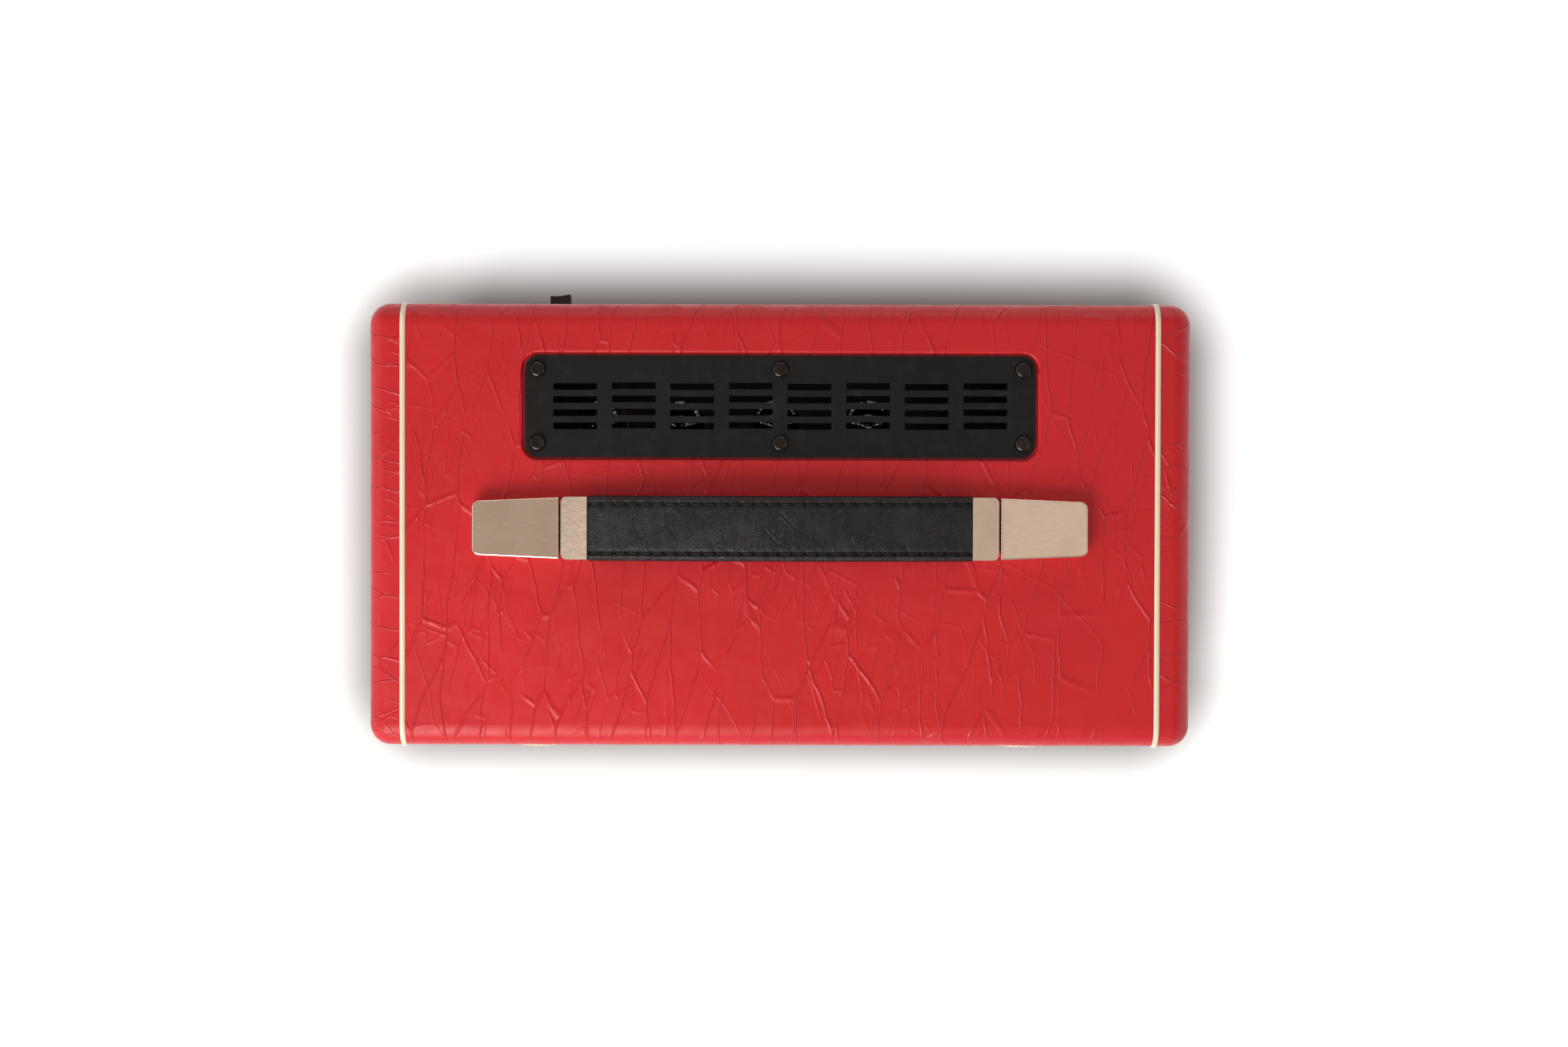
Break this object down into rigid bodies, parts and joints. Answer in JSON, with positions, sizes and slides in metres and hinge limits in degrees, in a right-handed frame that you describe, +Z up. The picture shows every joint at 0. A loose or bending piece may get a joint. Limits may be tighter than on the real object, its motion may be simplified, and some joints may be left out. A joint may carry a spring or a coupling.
{
  "type": "portable radio",
  "caption": "Mains portable valve radio: leathercloth cabinet with piping, strap handle, top vent, grille cloth and tuned dial.",
  "frame": {"origin": "on the surface that the feet stand on, under the middle of the object's box", "axes": "+Z up, +X along the cabinet's length to the right seen from the front, +Y from the front to the back"},
  "size_m": [0.36, 0.2041, 0.2503],
  "materials": {
    "aluminium": "plain aluminium",
    "back_board": "dark brown pressed board",
    "black_gloss": "glossy black moulding",
    "black_plastic": "black moulding",
    "black_rubber": "matt black rubber",
    "black_steel": "satin black enamel",
    "blued_steel": "blued steel",
    "brown_paxolin": "brown laminated board",
    "chassis_enamel": "dark stoved enamel",
    "clear_glass": "clear flat glass",
    "cone_paper": "black paper pulp",
    "cord": "waxed braided cord",
    "core_iron": "varnished laminations",
    "cream_plastic": "cream moulding",
    "ferrite": "grey-black ferrite",
    "grille_fabric": "woven grille cloth, oatmeal with a gold thread",
    "knob_plastic": "cream knob with a gold disc",
    "leathercloth": "red embossed vinyl leathercloth, semi-gloss",
    "nickel": "warm nickel plate",
    "panel_metal": "brushed aluminium, anodised champagne gold",
    "piping": "cream extruded piping",
    "plywood": "bare birch plywood",
    "pointer_red": "red enamel",
    "scale_paint": "ivory enamel with brown print",
    "speaker_paint": "dark stoved paint",
    "steel": "turned steel",
    "strap_leather": "black stitched leather",
    "valve_glass": "clear blown glass, silvered at the top",
    "valve_metal": "grey anode plate and bright pins",
    "winding": "waxed paper over copper wire",
    "zinc_steel": "bright zinc plate"
  },
  "bodies": {
    "cabinet": {"middle_cover": "leathercloth", "cheek_covers": "leathercloth", "top_board": "plywood", "bottom_board": "plywood", "front_frame": "plywood", "back_frame": "plywood", "cheek_boards": "plywood", "piping": "piping", "feet": "black_rubber", "foot_screws": "zinc_steel", "vent_plate": "black_steel", "vent_screws": "blued_steel", "handle_anchors": "blued_steel", "handle_end_caps": "nickel", "handle_bolts": "zinc_steel", "baffle_board": "plywood", "grille_cloth": "grille_fabric", "grille_bead": "cream_plastic", "speaker_frame": "speaker_paint", "speaker_magnet": "ferrite", "control_panel": "panel_metal", "dial_bezel": "cream_plastic", "dial_glass": "clear_glass", "dial_scale": "scale_paint", "drive_cord": "cord", "control_bodies": "steel", "gang_frame": "aluminium", "chassis": "chassis_enamel", "cabinet_screws": "zinc_steel", "valve_sockets": "brown_paxolin", "valve_glasses": "valve_glass", "valve_electrodes": "valve_metal", "transformer_cores": "core_iron", "transformer_windings": "winding", "chassis_cans": "aluminium", "tag_board": "brown_paxolin", "ferrite_aerial": "ferrite", "back_panel": "back_board", "mains_inlet": "black_plastic", "aerial_sockets": "black_plastic", "rocker_housing": "black_plastic"},
    "left_tongue": {"left_tongue": "blued_steel"},
    "strap_left": {"left_strap": "strap_leather", "left_ferrule_and_core": "nickel"},
    "strap_right": {"right_strap": "strap_leather", "right_ferrule_and_core": "nickel"},
    "right_tongue": {"right_tongue": "blued_steel"},
    "volume": {"volume_knob": "knob_plastic", "volume_shaft": "steel"},
    "band": {"band_knob": "knob_plastic", "band_shaft": "steel"},
    "tuning": {"tuning_knob": "knob_plastic", "tuning_spindle": "steel"},
    "gang": {"gang_rotor": "aluminium", "drive_drum": "aluminium"},
    "left_pulley": {"left_cord_pulley": "aluminium"},
    "right_pulley": {"right_cord_pulley": "aluminium"},
    "pointer": {"dial_pointer": "pointer_red"},
    "rocker": {"rocker_paddle": "black_gloss"},
    "cone": {"speaker_cone": "cone_paper"}
  },
  "joints": [
    {"name": "left_slip", "type": "slide", "parent": "cabinet", "child": "left_tongue", "axis": [1, 0, 0], "range_m": [0, 0.0033]},
    {"name": "handle_lift", "type": "hinge", "parent": "left_tongue", "child": "strap_left", "pos_m": [-0.095, -0.0012, 0.2378], "axis": [0, -1, 0], "range_deg": [0, 12]},
    {"name": "strap_flex", "type": "hinge", "parent": "strap_left", "child": "strap_right", "pos_m": [0, -0.0012, 0.2433], "axis": [0, -1, 0], "range_deg": [-24, 0]},
    {"name": "right_lift", "type": "hinge", "parent": "strap_right", "child": "right_tongue", "pos_m": [0.095, -0.0012, 0.2378], "axis": [0, -1, 0], "range_deg": [0, 12]},
    {"name": "volume_turn", "type": "hinge", "parent": "cabinet", "child": "volume", "pos_m": [-0.109, -0.095, 0.184], "axis": [0, -1, 0], "range_deg": [-140, 140]},
    {"name": "band_turn", "type": "hinge", "parent": "cabinet", "child": "band", "pos_m": [0, -0.095, 0.1605], "axis": [0, -1, 0], "range_deg": [-30, 30]},
    {"name": "tuning_turn", "type": "hinge", "parent": "cabinet", "child": "tuning", "pos_m": [0.109, -0.095, 0.184], "axis": [0, 1, 0], "range_deg": [-1088.62, 1088.62]},
    {"name": "gang_turn", "type": "hinge", "parent": "cabinet", "child": "gang", "pos_m": [0.085, -0.063, 0.15], "axis": [0, 1, 0], "range_deg": [-90.07, 90.07]},
    {"name": "pointer_slide", "type": "slide", "parent": "cabinet", "child": "pointer", "axis": [1, 0, 0], "range_m": [-0.0571, 0.0571]},
    {"name": "left_pulley_turn", "type": "hinge", "parent": "cabinet", "child": "left_pulley", "pos_m": [-0.072, -0.063, 0.209], "axis": [0, 1, 0], "range_deg": [-655, 655]},
    {"name": "right_pulley_turn", "type": "hinge", "parent": "cabinet", "child": "right_pulley", "pos_m": [0.072, -0.063, 0.209], "axis": [0, 1, 0], "range_deg": [-655, 655]},
    {"name": "power_rock", "type": "hinge", "parent": "cabinet", "child": "rocker", "pos_m": [-0.0986, 0.0965, 0.198], "axis": [0, 0, 1], "range_deg": [-14, 0]},
    {"name": "cone_stroke", "type": "slide", "parent": "cabinet", "child": "cone", "axis": [0, 1, 0], "range_m": [-0.0015, 0.0015], "stiffness_N_per_m": 1200}
  ],
  "couplings": [
    {"joint": "left_slip", "follows": "handle_lift", "m_per_rad": 0.01538},
    {"joint": "strap_flex", "follows": "handle_lift", "ratio": -2},
    {"joint": "right_lift", "follows": "handle_lift", "ratio": 1},
    {"joint": "gang_turn", "follows": "tuning_turn", "ratio": 0.082645},
    {"joint": "pointer_slide", "follows": "tuning_turn", "m_per_rad": 0.003},
    {"joint": "left_pulley_turn", "follows": "tuning_turn", "ratio": 0.6},
    {"joint": "right_pulley_turn", "follows": "tuning_turn", "ratio": 0.6}
  ]
}
